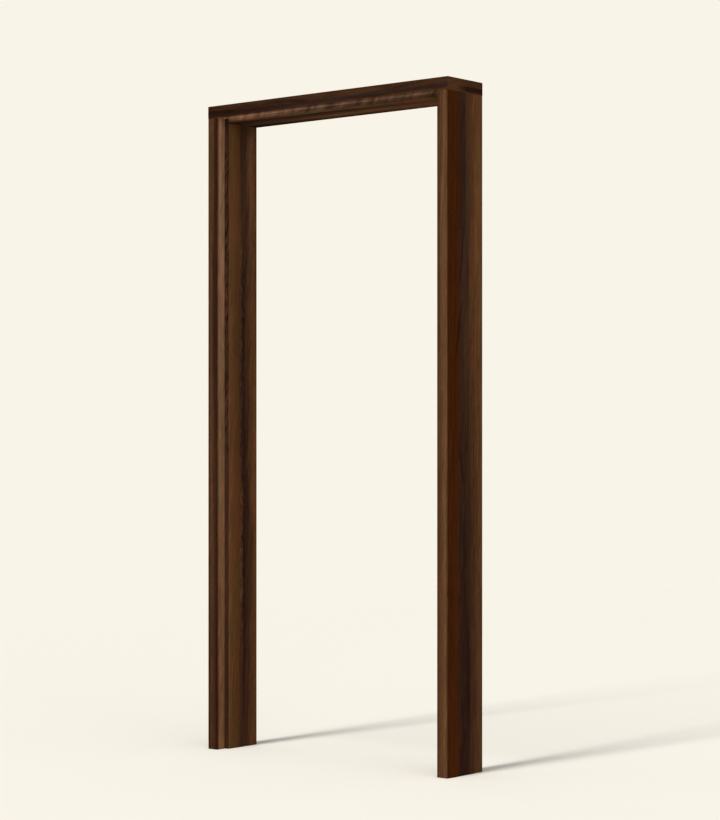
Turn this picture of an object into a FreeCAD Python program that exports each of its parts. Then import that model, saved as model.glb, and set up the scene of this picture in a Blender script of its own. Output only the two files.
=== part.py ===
import FreeCAD, Part
import os

import Sketcher

# Wooden door frame: two rebated jambs and a head that lies over their tops.
# Own frame: +Z up, the front (rebated) side faces -Y, and the origin is on the floor,
# midway across the frame and midway through its depth. Lengths are in millimetres.

document = FreeCAD.newDocument("door_frame")

# Driving dimensions: alias, value, what it is

SIZES = [
    ("frame_height", 2100, "floor to the head's top face"),
    ("frame_width", 985, "over the outer faces of the jambs"),
    ("frame_depth", 175, "front face to back face, the thickness of a plastered wall"),
    ("lip_thickness", 40, "thickness of the members in front of the stop"),
    ("stop_step", 15, "how far the stop stands in from the lip"),
    ("rebate_depth", 38, "front face to the stop, for a 35 mm leaf and its seal"),
    ("arris_radius", 1.5, "eased long edges"),
    ("shoulder_gap", 0.2, "between an end of the head's stop and the jamb beside it"),
    ("fixing_margin", 22, "front or back face to the nearest screw's axis"),
    ("screw_length", 120, "over head and point"),
    ("screw_sink", 1.5, "from the head's top face down to the screws' heads"),
    ("screw_head_diameter", 12, "countersunk head"),
    ("screw_head_rim", 0.8, "straight rim of a screw's head"),
    ("screw_cone_angle", 90, "countersink, in degrees"),
    ("screw_shank_diameter", 4.4, "smooth shank"),
    ("screw_thread_diameter", 6, "over the crests of the thread"),
    ("screw_thread_length", 70, "threaded stretch with the point"),
    ("screw_point_length", 8, "tapered point"),
    ("screw_tip_diameter", 0.6, "blunt end of the point"),
    ("recess_width", 6, "across the arms of the cross recess"),
    ("recess_slot", 1.3, "width of an arm of the cross recess"),
    ("recess_depth", 2.8, "depth of the cross recess"),
    ("screw_clearance", 0.05, "round a screw, on the radius"),
    ("screw_end_room", 3, "bored past a screw's point"),
    ("dowel_diameter", 10, "over the ridges of a grooved dowel"),
    ("dowel_length", 60, "over the ends"),
    ("dowel_in_head", 25, "how much of a dowel is in the head"),
    ("dowel_chamfer", 1, "at both ends"),
    ("groove_diameter", 0.9, "round-bottomed glue grooves along a dowel"),
    ("dowel_clearance", 0.05, "round a dowel, on the radius"),
    ("dowel_end_room", 1.5, "bored past each end of a dowel, for glue"),
]

# Worked out from the driving dimensions

DERIVED = [
    ("half_width", "frame_width / 2"),
    ("half_depth", "frame_depth / 2"),
    ("jamb_length", "frame_height - lip_thickness"),
    ("stop_thickness", "lip_thickness + stop_step"),
    ("stop_reach", "half_width - stop_thickness - shoulder_gap"),
    ("fixing_inset", "lip_thickness / 2"),
    ("fixing_reach", "half_width - fixing_inset"),
    ("front_screw", "fixing_margin"),
    ("middle_screw", "half_depth"),
    ("back_screw", "frame_depth - fixing_margin"),
    ("front_dowel", "(front_screw + middle_screw) / 2"),
    ("back_dowel", "(middle_screw + back_screw) / 2"),
    ("screw_run", "back_screw - front_screw"),
    ("dowel_run", "back_dowel - front_dowel"),
    ("screw_top", "frame_height - screw_sink"),
    ("screw_head_radius", "screw_head_diameter / 2"),
    ("screw_shank_radius", "screw_shank_diameter / 2"),
    ("screw_thread_radius", "screw_thread_diameter / 2"),
    ("screw_tip_radius", "screw_tip_diameter / 2"),
    ("screw_cone", "(screw_head_radius - screw_shank_radius) / tan(screw_cone_angle * 0.5 deg)"),
    ("screw_neck", "screw_head_rim + screw_cone"),
    ("thread_start", "screw_length - screw_thread_length"),
    ("point_start", "screw_length - screw_point_length"),
    ("recess_reach", "recess_width / 2"),
    ("recess_edge", "recess_slot / 2"),
    ("screw_hole", "screw_thread_diameter + 2 * screw_clearance"),
    ("sink_diameter", "screw_head_diameter + 2 * screw_clearance"),
    ("sink_depth", "screw_sink + screw_head_rim"),
    ("screw_hole_in_jamb", "screw_sink + screw_length + screw_end_room - lip_thickness"),
    ("dowel_radius", "dowel_diameter / 2"),
    ("dowel_end_radius", "dowel_radius - dowel_chamfer"),
    ("dowel_shoulder", "dowel_length - dowel_chamfer"),
    ("dowel_foot", "jamb_length + dowel_in_head - dowel_length"),
    ("dowel_hole", "dowel_diameter + 2 * dowel_clearance"),
    ("dowel_hole_in_head", "dowel_in_head + dowel_end_room"),
    ("dowel_hole_in_jamb", "dowel_length - dowel_in_head + dowel_end_room"),
]

SCREW_STATIONS = ("front_screw", "middle_screw", "back_screw")
DOWEL_STATIONS = ("front_dowel", "back_dowel")
GROOVE_COUNT = 12
LEFT = -1
RIGHT = 1
IN_LINE_WITHIN = 1e-6

sheet = document.addObject("Spreadsheet::Sheet", "sizes")
for row, (name, size, meaning) in enumerate(SIZES, start=1):
    sheet.set(f"A{row}", name)
    sheet.set(f"B{row}", str(size))
    sheet.set(f"C{row}", meaning)
    sheet.setAlias(f"B{row}", name)
for row, (name, formula) in enumerate(DERIVED, start=len(SIZES) + 2):
    sheet.set(f"A{row}", name)
    sheet.set(f"B{row}", f"={formula}")
    sheet.setAlias(f"B{row}", name)
document.recompute()

# Shared steps. A place or size is the name of a cell, that name after a minus sign, or "0".


def cell_value(name):
    if name == "0":
        return 0.0
    if name.startswith("-"):
        return -cell_value(name[1:])
    return float(sheet.get(name))


def cell_path(name):
    if name == "0":
        return name
    if name.startswith("-"):
        return f"-{cell_path(name[1:])}"
    return f"sizes.{name}"


def towards(side, name):
    """The same distance to the left or to the right of the zero line."""
    return name if side == RIGHT else f"-{name}"


def origin_feature(body, role):
    return next(item for item in body.Origin.OriginFeatures if item.Role == role)


def new_body(label, across, up):
    """Body whose own zero is on the frame's front face, at a place across and up."""
    body = document.addObject("PartDesign::Body", label)
    body.Label = label
    body.setExpression("Placement.Base.x", cell_path(across))
    body.setExpression("Placement.Base.y", cell_path("-half_depth"))
    body.setExpression("Placement.Base.z", cell_path(up))
    return body


def new_sketch(body, label, plane, shift_axis="z", shift="0"):
    sketch = body.newObject("Sketcher::SketchObject", f"{body.Label}_{label}")
    sketch.AttachmentSupport = [(origin_feature(body, plane), "")]
    sketch.MapMode = "FlatFace"
    sketch.setExpression(f"AttachmentOffset.Base.{shift_axis}", cell_path(shift))
    return sketch


def hold_point(sketch, geometry, point, across, along):
    """Tie a point's two coordinates, counted from the sketch's zero, to the sheet."""
    for kind, name in (("DistanceX", across), ("DistanceY", along)):
        constraint = Sketcher.Constraint(kind, -1, 1, geometry, point, cell_value(name))
        index = sketch.addConstraint(constraint)
        sketch.setExpression(f"Constraints[{index}]", cell_path(name))


def draw_outline(sketch, corners):
    """Closed outline of straight lines."""
    points = [FreeCAD.Vector(cell_value(a), cell_value(b), 0) for a, b in corners]
    ends = points[1:] + points[:1]
    for start, end in zip(points, ends):
        sketch.addGeometry(Part.LineSegment(start, end), False)
    for index, (across, along) in enumerate(corners):
        following = (index + 1) % len(corners)
        sketch.addConstraint(Sketcher.Constraint("Coincident", index, 2, following, 1))
        hold_point(sketch, index, 1, across, along)


def draw_circle(sketch, across, along, diameter):
    centre = FreeCAD.Vector(cell_value(across), cell_value(along), 0)
    circle = Part.Circle(centre, FreeCAD.Vector(0, 0, 1), cell_value(diameter) / 2)
    index = sketch.addGeometry(circle, False)
    hold_point(sketch, index, 3, across, along)
    constraint = Sketcher.Constraint("Diameter", index, cell_value(diameter))
    size = sketch.addConstraint(constraint)
    sketch.setExpression(f"Constraints[{size}]", cell_path(diameter))


def add_feature(body, kind, label):
    return body.newObject(f"PartDesign::{kind}", f"{body.Label}_{label}")


def require_cut(body, label, volume_before):
    document.recompute()
    if body.Shape.Volume >= volume_before:
        raise RuntimeError(f"{body.Label}: {label} takes nothing away")


def cut(body, label, sketch, depth=None, reverse=False):
    """Pocket to a depth, or right through if none is given."""
    document.recompute()
    volume_before = body.Shape.Volume
    pocket = add_feature(body, "Pocket", label)
    pocket.Profile = sketch
    pocket.Reversed = reverse
    if depth is None:
        pocket.Type = "ThroughAll"
    else:
        pocket.setExpression("Length", cell_path(depth))
    require_cut(body, label, volume_before)
    return pocket


def ease_long_edges(body, base, direction, hollow_corner):
    """Round every edge along the grain except the hollow corner of the rebate."""
    document.recompute()
    names = []
    for number, edge in enumerate(base.Shape.Edges, start=1):
        start = edge.Vertexes[0].Point
        end = edge.Vertexes[-1].Point
        runs_along = (end - start).cross(direction).Length < IN_LINE_WITHIN
        in_hollow = (start - hollow_corner).cross(direction).Length < IN_LINE_WITHIN
        if runs_along and not in_hollow:
            names.append(f"Edge{number}")
    fillet = add_feature(body, "Fillet", "arrises")
    fillet.Base = (base, names)
    fillet.setExpression("Radius", cell_path("arris_radius"))
    return fillet


def turn(body, label, outline, shift):
    """Solid of revolution about a vertical axis that stands a shift behind the front."""
    sketch = new_sketch(body, f"{label}_outline", "YZ_Plane", "x", shift)
    draw_outline(sketch, outline)
    solid = add_feature(body, "Revolution", label)
    solid.Profile = sketch
    solid.ReferenceAxis = (sketch, ["V_Axis"])
    solid.Angle = 360
    return solid


def repeat_body(body, label, run, count):
    """Copy the whole body backwards, the first and last copy a run apart."""
    row = add_feature(body, "LinearPattern", label)
    row.TransformMode = "Whole shape"
    row.Direction = (origin_feature(body, "Y_Axis"), [""])
    row.setExpression("Length", cell_path(run))
    row.Occurrences = count
    body.Tip = row
    return row


# Jambs: one moulding in two hands. The outline starts at the outer front corner and goes
# in towards the opening, and the length runs from the floor to the head's underside.


def make_jamb(label, side):
    inward = -side
    jamb = new_body(label, towards(side, "half_width"), "0")

    section = new_sketch(jamb, "section", "XY_Plane")
    lip = towards(inward, "lip_thickness")
    stop = towards(inward, "stop_thickness")
    draw_outline(section, [
        ("0", "0"),
        (lip, "0"),
        (lip, "rebate_depth"),
        (stop, "rebate_depth"),
        (stop, "frame_depth"),
        ("0", "frame_depth"),
    ])
    length = add_feature(jamb, "Pad", "length")
    length.Profile = section
    length.setExpression("Length", cell_path("jamb_length"))
    hollow = FreeCAD.Vector(cell_value(lip), cell_value("rebate_depth"), 0)
    ease_long_edges(jamb, length, FreeCAD.Vector(0, 0, 1), hollow)

    bored = towards(inward, "fixing_inset")
    for name, stations, diameter, depth in (
        ("screw_holes", SCREW_STATIONS, "screw_hole", "screw_hole_in_jamb"),
        ("dowel_holes", DOWEL_STATIONS, "dowel_hole", "dowel_hole_in_jamb"),
    ):
        circles = new_sketch(jamb, f"{name}_plan", "XY_Plane", "z", "jamb_length")
        for station in stations:
            draw_circle(circles, bored, station, diameter)
        cut(jamb, name, circles, depth)
    return jamb


# Head: the same moulding on its side, over both jambs. Its zero is on the top face, midway
# across. The stop is cut away at both ends, so that the lip's thickness lies on the jambs.


def make_head(label):
    head = new_body(label, "0", "frame_height")

    section = new_sketch(head, "section", "YZ_Plane")
    draw_outline(section, [
        ("0", "0"),
        ("frame_depth", "0"),
        ("frame_depth", "-stop_thickness"),
        ("rebate_depth", "-stop_thickness"),
        ("rebate_depth", "-lip_thickness"),
        ("0", "-lip_thickness"),
    ])
    length = add_feature(head, "Pad", "length")
    length.Profile = section
    length.SideType = "Symmetric"
    length.setExpression("Length", cell_path("frame_width"))
    hollow = FreeCAD.Vector(0, cell_value("rebate_depth"), -cell_value("lip_thickness"))
    ease_long_edges(head, length, FreeCAD.Vector(1, 0, 0), hollow)

    shoulder = new_sketch(head, "shoulder_outline", "XZ_Plane")
    draw_outline(shoulder, [
        ("stop_reach", "-lip_thickness"),
        ("half_width", "-lip_thickness"),
        ("half_width", "-stop_thickness"),
        ("stop_reach", "-stop_thickness"),
    ])
    right_shoulder = cut(head, "right_shoulder", shoulder)
    volume_before = head.Shape.Volume
    left_shoulder = add_feature(head, "Mirrored", "left_shoulder")
    left_shoulder.Originals = [right_shoulder]
    left_shoulder.MirrorPlane = (origin_feature(head, "YZ_Plane"), [""])
    head.Tip = left_shoulder
    require_cut(head, "left_shoulder", volume_before)

    # Clearance holes from the top face, each bored straight for the screw's sunk head and
    # then coned to the screw's own angle
    screw_plan = new_sketch(head, "screw_holes_plan", "XY_Plane")
    for side in (LEFT, RIGHT):
        for station in SCREW_STATIONS:
            draw_circle(screw_plan, towards(side, "fixing_reach"), station, "screw_hole")
    document.recompute()
    volume_before = head.Shape.Volume
    holes = add_feature(head, "Hole", "screw_holes")
    holes.Profile = screw_plan
    holes.ThreadType = "None"
    holes.DepthType = "ThroughAll"
    holes.HoleCutType = "Counterdrill"
    holes.HoleCutCustomValues = True
    holes.setExpression("Diameter", cell_path("screw_hole"))
    holes.setExpression("HoleCutDiameter", cell_path("sink_diameter"))
    holes.setExpression("HoleCutDepth", cell_path("sink_depth"))
    holes.setExpression("HoleCutCountersinkAngle", cell_path("screw_cone_angle"))
    require_cut(head, "screw_holes", volume_before)

    # Blind holes for the dowels, bored up from the underside
    dowel_plan = new_sketch(head, "dowel_holes_plan", "XY_Plane", "z", "-lip_thickness")
    for side in (LEFT, RIGHT):
        for station in DOWEL_STATIONS:
            draw_circle(dowel_plan, towards(side, "fixing_reach"), station, "dowel_hole")
    cut(head, "dowel_holes", dowel_plan, "dowel_hole_in_head", reverse=True)
    return head


# Screws: three long countersunk wood screws a corner. The thread is drawn as the cylinder
# over its crests. Zero is at the top of the heads.


def make_screws(label, side):
    screws = new_body(label, towards(side, "fixing_reach"), "screw_top")
    turn(screws, "blank", [
        ("0", "0"),
        ("screw_head_radius", "0"),
        ("screw_head_radius", "-screw_head_rim"),
        ("screw_shank_radius", "-screw_neck"),
        ("screw_shank_radius", "-thread_start"),
        ("screw_thread_radius", "-thread_start"),
        ("screw_thread_radius", "-point_start"),
        ("screw_tip_radius", "-screw_length"),
        ("0", "-screw_length"),
    ], "front_screw")

    cross = new_sketch(screws, "recess_outline", "XY_Plane", "y", "front_screw")
    draw_outline(cross, [
        ("recess_edge", "recess_edge"),
        ("recess_edge", "recess_reach"),
        ("-recess_edge", "recess_reach"),
        ("-recess_edge", "recess_edge"),
        ("-recess_reach", "recess_edge"),
        ("-recess_reach", "-recess_edge"),
        ("-recess_edge", "-recess_edge"),
        ("-recess_edge", "-recess_reach"),
        ("recess_edge", "-recess_reach"),
        ("recess_edge", "-recess_edge"),
        ("recess_reach", "-recess_edge"),
        ("recess_reach", "recess_edge"),
    ])
    cut(screws, "recess", cross, "recess_depth")
    repeat_body(screws, "row", "screw_run", len(SCREW_STATIONS))
    return screws


# Dowels: two grooved wooden dowels a corner, between the screws. Zero is at their feet.


def make_dowels(label, side):
    dowels = new_body(label, towards(side, "fixing_reach"), "dowel_foot")
    turn(dowels, "blank", [
        ("0", "0"),
        ("dowel_end_radius", "0"),
        ("dowel_radius", "dowel_chamfer"),
        ("dowel_radius", "dowel_shoulder"),
        ("dowel_end_radius", "dowel_length"),
        ("0", "dowel_length"),
    ], "front_dowel")

    groove_plan = new_sketch(dowels, "groove_plan", "XY_Plane", "y", "front_dowel")
    draw_circle(groove_plan, "dowel_radius", "0", "groove_diameter")
    groove = cut(dowels, "groove", groove_plan, reverse=True)
    volume_before = dowels.Shape.Volume
    grooves = add_feature(dowels, "PolarPattern", "grooves")
    grooves.Originals = [groove]
    grooves.Axis = (groove_plan, ["N_Axis"])
    grooves.Angle = 360
    grooves.Occurrences = GROOVE_COUNT
    dowels.Tip = grooves
    require_cut(dowels, "grooves", volume_before)
    repeat_body(dowels, "row", "dowel_run", len(DOWEL_STATIONS))
    return dowels


# The assembly: each body with the number of separate solids that it holds

pieces = [(make_head("head"), 1)]
for hand, side in (("left", LEFT), ("right", RIGHT)):
    pieces.append((make_jamb(f"{hand}_jamb", side), 1))
    pieces.append((make_screws(f"{hand}_corner_screws", side), len(SCREW_STATIONS)))
    pieces.append((make_dowels(f"{hand}_corner_dowels", side), len(DOWEL_STATIONS)))
document.recompute()

for item in document.Objects:
    if "Invalid" in item.State or "Error" in item.State:
        raise RuntimeError(f"{item.Name} failed: {item.State}")
for body, solids in pieces:
    shape = body.Shape
    if shape.isNull() or not shape.isValid() or len(shape.Solids) != solids:
        raise RuntimeError(f"{body.Label} has a bad shape")

os.makedirs("parts", exist_ok=True)
for body, solids in pieces:
    body.Shape.exportStep(f"parts/{body.Label}.step")
    box = body.Shape.BoundBox
    low = f"{box.XMin:.2f} {box.YMin:.2f} {box.ZMin:.2f}"
    high = f"{box.XMax:.2f} {box.YMax:.2f} {box.ZMax:.2f}"
    print(f"{body.Label}: {solids} solid, {body.Shape.Volume:.0f} mm3, {low} to {high}")
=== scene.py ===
import math

import bpy
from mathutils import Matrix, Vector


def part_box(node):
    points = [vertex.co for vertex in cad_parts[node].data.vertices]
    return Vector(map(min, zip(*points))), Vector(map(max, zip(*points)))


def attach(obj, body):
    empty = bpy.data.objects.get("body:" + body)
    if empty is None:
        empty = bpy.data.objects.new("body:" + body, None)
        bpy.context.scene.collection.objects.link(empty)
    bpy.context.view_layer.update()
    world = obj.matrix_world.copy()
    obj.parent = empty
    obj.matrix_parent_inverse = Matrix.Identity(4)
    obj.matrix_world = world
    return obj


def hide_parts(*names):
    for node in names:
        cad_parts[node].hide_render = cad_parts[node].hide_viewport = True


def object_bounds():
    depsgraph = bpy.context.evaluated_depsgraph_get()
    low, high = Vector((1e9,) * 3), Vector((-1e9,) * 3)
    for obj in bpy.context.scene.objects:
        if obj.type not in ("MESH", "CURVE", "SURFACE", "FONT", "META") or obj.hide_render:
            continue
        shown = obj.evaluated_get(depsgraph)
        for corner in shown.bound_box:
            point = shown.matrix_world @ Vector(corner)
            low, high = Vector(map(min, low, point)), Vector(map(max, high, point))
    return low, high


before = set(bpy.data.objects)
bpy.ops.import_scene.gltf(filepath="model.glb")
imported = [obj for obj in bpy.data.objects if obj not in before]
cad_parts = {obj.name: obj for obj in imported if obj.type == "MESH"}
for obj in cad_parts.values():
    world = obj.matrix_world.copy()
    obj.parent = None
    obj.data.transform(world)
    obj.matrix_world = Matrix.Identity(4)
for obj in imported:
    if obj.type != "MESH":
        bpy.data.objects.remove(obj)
cad_low, cad_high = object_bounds()

# Left jamb: an upright of solid walnut, planed and rebated in one pass and then oiled.
# The wood's dark and light bands run its whole length, and each face shows its own.
# The oil leaves the colour deep and warm, with a faint sheen and no film over the pores.

MM = 0.001
PER_METRE = 1 / MM

# Sizes of the moulding in mm; the rebate is deep enough for a leaf 35 mm thick
jamb_low, jamb_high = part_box("left_jamb")
FRAME_DEPTH = (jamb_high.y - jamb_low.y) * PER_METRE
STOP_THICKNESS = (jamb_high.x - jamb_low.x) * PER_METRE
JAMB_LENGTH = jamb_high.z * PER_METRE
LIP_THICKNESS = (cad_high.z - jamb_high.z) * PER_METRE
HALF_WIDTH = cad_high.x * PER_METRE
REBATE_DEPTH = 38

# Walnut, from the mineral streaks of the heart out to the pale wood near the sap. Where a face's
# tones begin or end on ink, that thin dark line along the arris is painted shade, and the light
# tones on the rebates are partly the wood and partly a painted sheen.
TONES = {
    "ink": "#1C100A",
    "vein": "#2C1910",
    "dusk": "#32211A",
    "umber": "#392216",
    "smoke": "#3A281D",
    "red": "#3D1C05",
    "russet": "#3D1E0E",
    "shade": "#472C1A",
    "bronze": "#50331A",
    "brown": "#50331F",
    "rust": "#54351F",
    "chestnut": "#583E2D",
    "gold": "#5F3D21",
    "warm": "#60432C",
    "mauve": "#6B5041",
    "amber": "#724C31",
    "tan": "#745138",
    "light": "#7D5A41",
    "rose": "#806558",
    "pale": "#926E53",
    "blush": "#9F7F67",
}

# A Mix node's sockets for colours share their names with others, so they go by number
COLOUR_A = 6
COLOUR_B = 7
COLOUR_RESULT = 2

# The stretch in which a noise mostly lies
NOISE_LOW = 0.3
NOISE_HIGH = 0.7
NOISE_RANGE = {"From Min": NOISE_LOW, "From Max": NOISE_HIGH}


def linear(colour):
    """An sRGB hex colour as the linear colour that a shader takes."""
    parts = [int(colour[start:start + 2], 16) / 255 for start in (1, 3, 5)]
    bent = [p / 12.92 if p <= 0.04045 else ((p + 0.055) / 1.055) ** 2.4 for p in parts]
    return (*bent, 1.0)


def start_material(name):
    """A new material, with its node tree and its shader."""
    material = bpy.data.materials.new(name)
    material.use_nodes = True
    return material, material.node_tree, material.node_tree.nodes["Principled BSDF"]


def put(tree, kind, inputs=(), **settings):
    """Adds a node of a kind with its settings; an input is a value or an output to link."""
    node = tree.nodes.new(kind)
    for name, value in settings.items():
        setattr(node, name, value)
    for name, value in dict(inputs).items():
        socket = node.inputs[name]
        if isinstance(value, bpy.types.NodeSocket):
            tree.links.new(value, socket)
        else:
            socket.default_value = value
    return node


def blended(tree, value, start, end, first, second):
    """The first colour, which goes over into the second while the value goes from start to end."""
    share = put(tree, "ShaderNodeMapRange", {"Value": value, "From Min": start, "From Max": end})
    return put(tree, "ShaderNodeMix", {
        "Factor": share.outputs[0], COLOUR_A: first, COLOUR_B: second},
        data_type="RGBA").outputs[COLOUR_RESULT]


def swayed(tree, value, noise, reach):
    """The value, which noise carries up or down by as much as the reach."""
    sway = put(tree, "ShaderNodeMapRange", {
        "Value": noise, **NOISE_RANGE, "To Min": -reach, "To Max": reach})
    return put(
        tree, "ShaderNodeMath", {0: value, 1: sway.outputs[0]}, operation="ADD").outputs[0]


def shaded(tree, shade, noise, dark, light):
    """The shade times a share that follows noise from dark to light."""
    share = put(tree, "ShaderNodeMapRange", {
        "Value": noise, **NOISE_RANGE, "To Min": dark, "To Max": light})
    return put(
        tree, "ShaderNodeMath", {0: shade, 1: share.outputs[0]}, operation="MULTIPLY").outputs[0]


def window(tree, value, middle, reach, firm):
    """1 in the middle of a stretch and 0 past its ends; firm is the share that stays at 1."""
    offset = put(tree, "ShaderNodeMath", {0: value, 1: middle}, operation="SUBTRACT")
    distance = put(tree, "ShaderNodeMath", {0: offset.outputs[0]}, operation="ABSOLUTE")
    return put(tree, "ShaderNodeMapRange", {
        "Value": distance.outputs[0], "From Min": reach * firm, "From Max": reach,
        "To Min": 1.0, "To Max": 0.0}, interpolation_type="SMOOTHSTEP").outputs[0]


# Faces in the order in which a tape round the board passes them, with where each starts
FACES = {
    "outer": 0,
    "lip": FRAME_DEPTH,
    "rebate": FRAME_DEPTH + LIP_THICKNESS,
    "stop": FRAME_DEPTH + LIP_THICKNESS + REBATE_DEPTH,
    "inner": FRAME_DEPTH + STOP_THICKNESS + REBATE_DEPTH,
    "back": 2 * FRAME_DEPTH + STOP_THICKNESS,
}
GIRTH = 2 * (FRAME_DEPTH + STOP_THICKNESS)

# In mm: how near a point is to a face that it lies on, how far inside an arris the tones of
# a face begin, and how deep in a face its bands stray in full
ON_FACE = 0.5
ARRIS = 0.2
STRAY_ROOM = 36


def face_span(face):
    """Where a face starts and ends on the tape."""
    starts = [*FACES.values(), GIRTH]
    place = list(FACES).index(face)
    return starts[place], starts[place + 1]


def tape_round(tree, inward, back):
    """Place on the tape, which goes round the board from its back, over the outer face, the
    lip, the rebate, the stop and the inner face, and back again."""
    across = put(tree, "ShaderNodeMath", {0: inward, 1: back}, operation="ADD")
    front_tape = put(
        tree, "ShaderNodeMath", {0: across.outputs[0], 1: FRAME_DEPTH}, operation="ADD")
    outer_tape = put(tree, "ShaderNodeMath", {0: FRAME_DEPTH, 1: back}, operation="SUBTRACT")
    back_tape = put(tree, "ShaderNodeMath", {0: GIRTH, 1: inward}, operation="SUBTRACT")
    on_outer = put(tree, "ShaderNodeMath", {0: inward, 1: ON_FACE}, operation="LESS_THAN")
    on_back = put(
        tree, "ShaderNodeMath", {0: back, 1: FRAME_DEPTH - ON_FACE}, operation="GREATER_THAN")
    tape_front = put(tree, "ShaderNodeMix", {
        "Factor": on_outer.outputs[0], "A": front_tape.outputs[0], "B": outer_tape.outputs[0]})
    return put(tree, "ShaderNodeMix", {
        "Factor": on_back.outputs[0], "A": tape_front.outputs[0],
        "B": back_tape.outputs[0]}).outputs[0]


def fill_ramp(ramp, stops):
    """Gives a colour ramp its stops, each a place on the tape and a colour."""
    while len(ramp.elements) > 1:
        ramp.elements.remove(ramp.elements[0])
    for number, (place, colour) in enumerate(stops):
        element = ramp.elements[0] if number == 0 else ramp.elements.new(place / GIRTH)
        element.position = place / GIRTH
        element.color = colour


def tone_stops(bands):
    """Stops for a board's tones: each face lists (mm from its first edge, tone)."""
    stops = []
    for face in FACES:
        start, end = face_span(face)
        for place, tone in bands[face]:
            here = min(max(start + place, start + ARRIS), end - ARRIS)
            stops.append((here, linear(TONES[tone])))
    return stops


def free_stops():
    """How far a band may stray: not at all at an arris, and more the deeper in the face."""
    stops = []
    for face in FACES:
        start, end = face_span(face)
        room = min(STRAY_ROOM, (end - start) / 2)
        most = room / STRAY_ROOM
        stops += [(start, (0, 0, 0, 1)), (start + room, (most, most, most, 1))]
        if end - start > 2 * room:
            stops.append((end - room, (most, most, most, 1)))
        stops.append((end - ARRIS, (0, 0, 0, 1)))
    return stops


def grain_noise(tree, board, patch, seed):
    """Noise in patches along the grain: (mm across it, mm along it, detail, roughness)."""
    across_size, along_size, detail, roughness = patch
    sized = put(tree, "ShaderNodeVectorMath", {
        0: board, 1: (1 / across_size, 1 / across_size, 1 / along_size)}, operation="MULTIPLY")
    return put(tree, "ShaderNodeTexNoise", {
        "Vector": sized.outputs[0], "W": seed, "Scale": 1.0, "Detail": detail,
        "Roughness": roughness}, noise_dimensions="4D").outputs[0]


def slanted_noise(tree, face_place, slant, patch_width, patch_length, seed):
    """Noise in long patches, sized in mm, that lean across the grain by a slant in degrees."""
    turned = put(tree, "ShaderNodeMapping", {
        "Vector": face_place, "Rotation": (0, 0, math.radians(slant)),
        "Scale": (patch_width, patch_length, 1)}, vector_type="TEXTURE")
    return put(tree, "ShaderNodeTexNoise", {
        "Vector": turned.outputs[0], "W": seed, "Scale": 1.0, "Detail": 3.0,
        "Roughness": 0.55}, noise_dimensions="4D").outputs[0]


def stripe_noise(tree, place, spacing, detail, roughness):
    """Noise in stripes that are a spacing in mm apart."""
    count = put(tree, "ShaderNodeMath", {0: place, 1: spacing}, operation="DIVIDE")
    return put(tree, "ShaderNodeTexNoise", {
        "W": count.outputs[0], "Scale": 1.0, "Detail": detail, "Roughness": roughness},
        noise_dimensions="1D").outputs[0]


# The most, in mm, that a board's course may drift from one side to the other
COURSE_SPAN = 100


def drifted(tree, along, length, course):
    """How far the bands have drifted by a place along the board."""
    share = put(tree, "ShaderNodeMath", {0: along, 1: length}, operation="DIVIDE")
    drift = put(tree, "ShaderNodeFloatCurve", {"Value": share.outputs[0]})
    curve = drift.mapping.curves[0]
    for place_along, shift in course[1:-1]:
        curve.points.new(place_along / length, 0.5 + shift / COURSE_SPAN)
    curve.points[0].location = (0, 0.5 + course[0][1] / COURSE_SPAN)
    curve.points[len(curve.points) - 1].location = (1, 0.5 + course[-1][1] / COURSE_SPAN)
    drift.mapping.update()
    return put(tree, "ShaderNodeMath", {
        0: drift.outputs[0], 1: COURSE_SPAN, 2: -COURSE_SPAN / 2},
        operation="MULTIPLY_ADD").outputs[0]


def blended_stations(tree, band, along, stations):
    """The tone of a band: that of each station along the board, blended into the next."""
    share = put(tree, "ShaderNodeMath", {0: band, 1: GIRTH}, operation="DIVIDE")
    tone = None
    for number, (station, bands) in enumerate(stations):
        ramp = put(tree, "ShaderNodeValToRGB", {0: share.outputs[0]})
        fill_ramp(ramp.color_ramp, tone_stops(bands))
        if tone is None:
            tone = ramp.outputs[0]
            continue
        travel = put(tree, "ShaderNodeMapRange", {
            "Value": along, "From Min": stations[number - 1][0], "From Max": station},
            interpolation_type="SMOOTHSTEP")
        tone = put(tree, "ShaderNodeMix", {
            "Factor": travel.outputs[0], COLOUR_A: tone, COLOUR_B: ramp.outputs[0]},
            data_type="RGBA").outputs[COLOUR_RESULT]
    return tone


# Width in mm over which a vein's crisp side fades
VEIN_EDGE = 3


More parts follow.
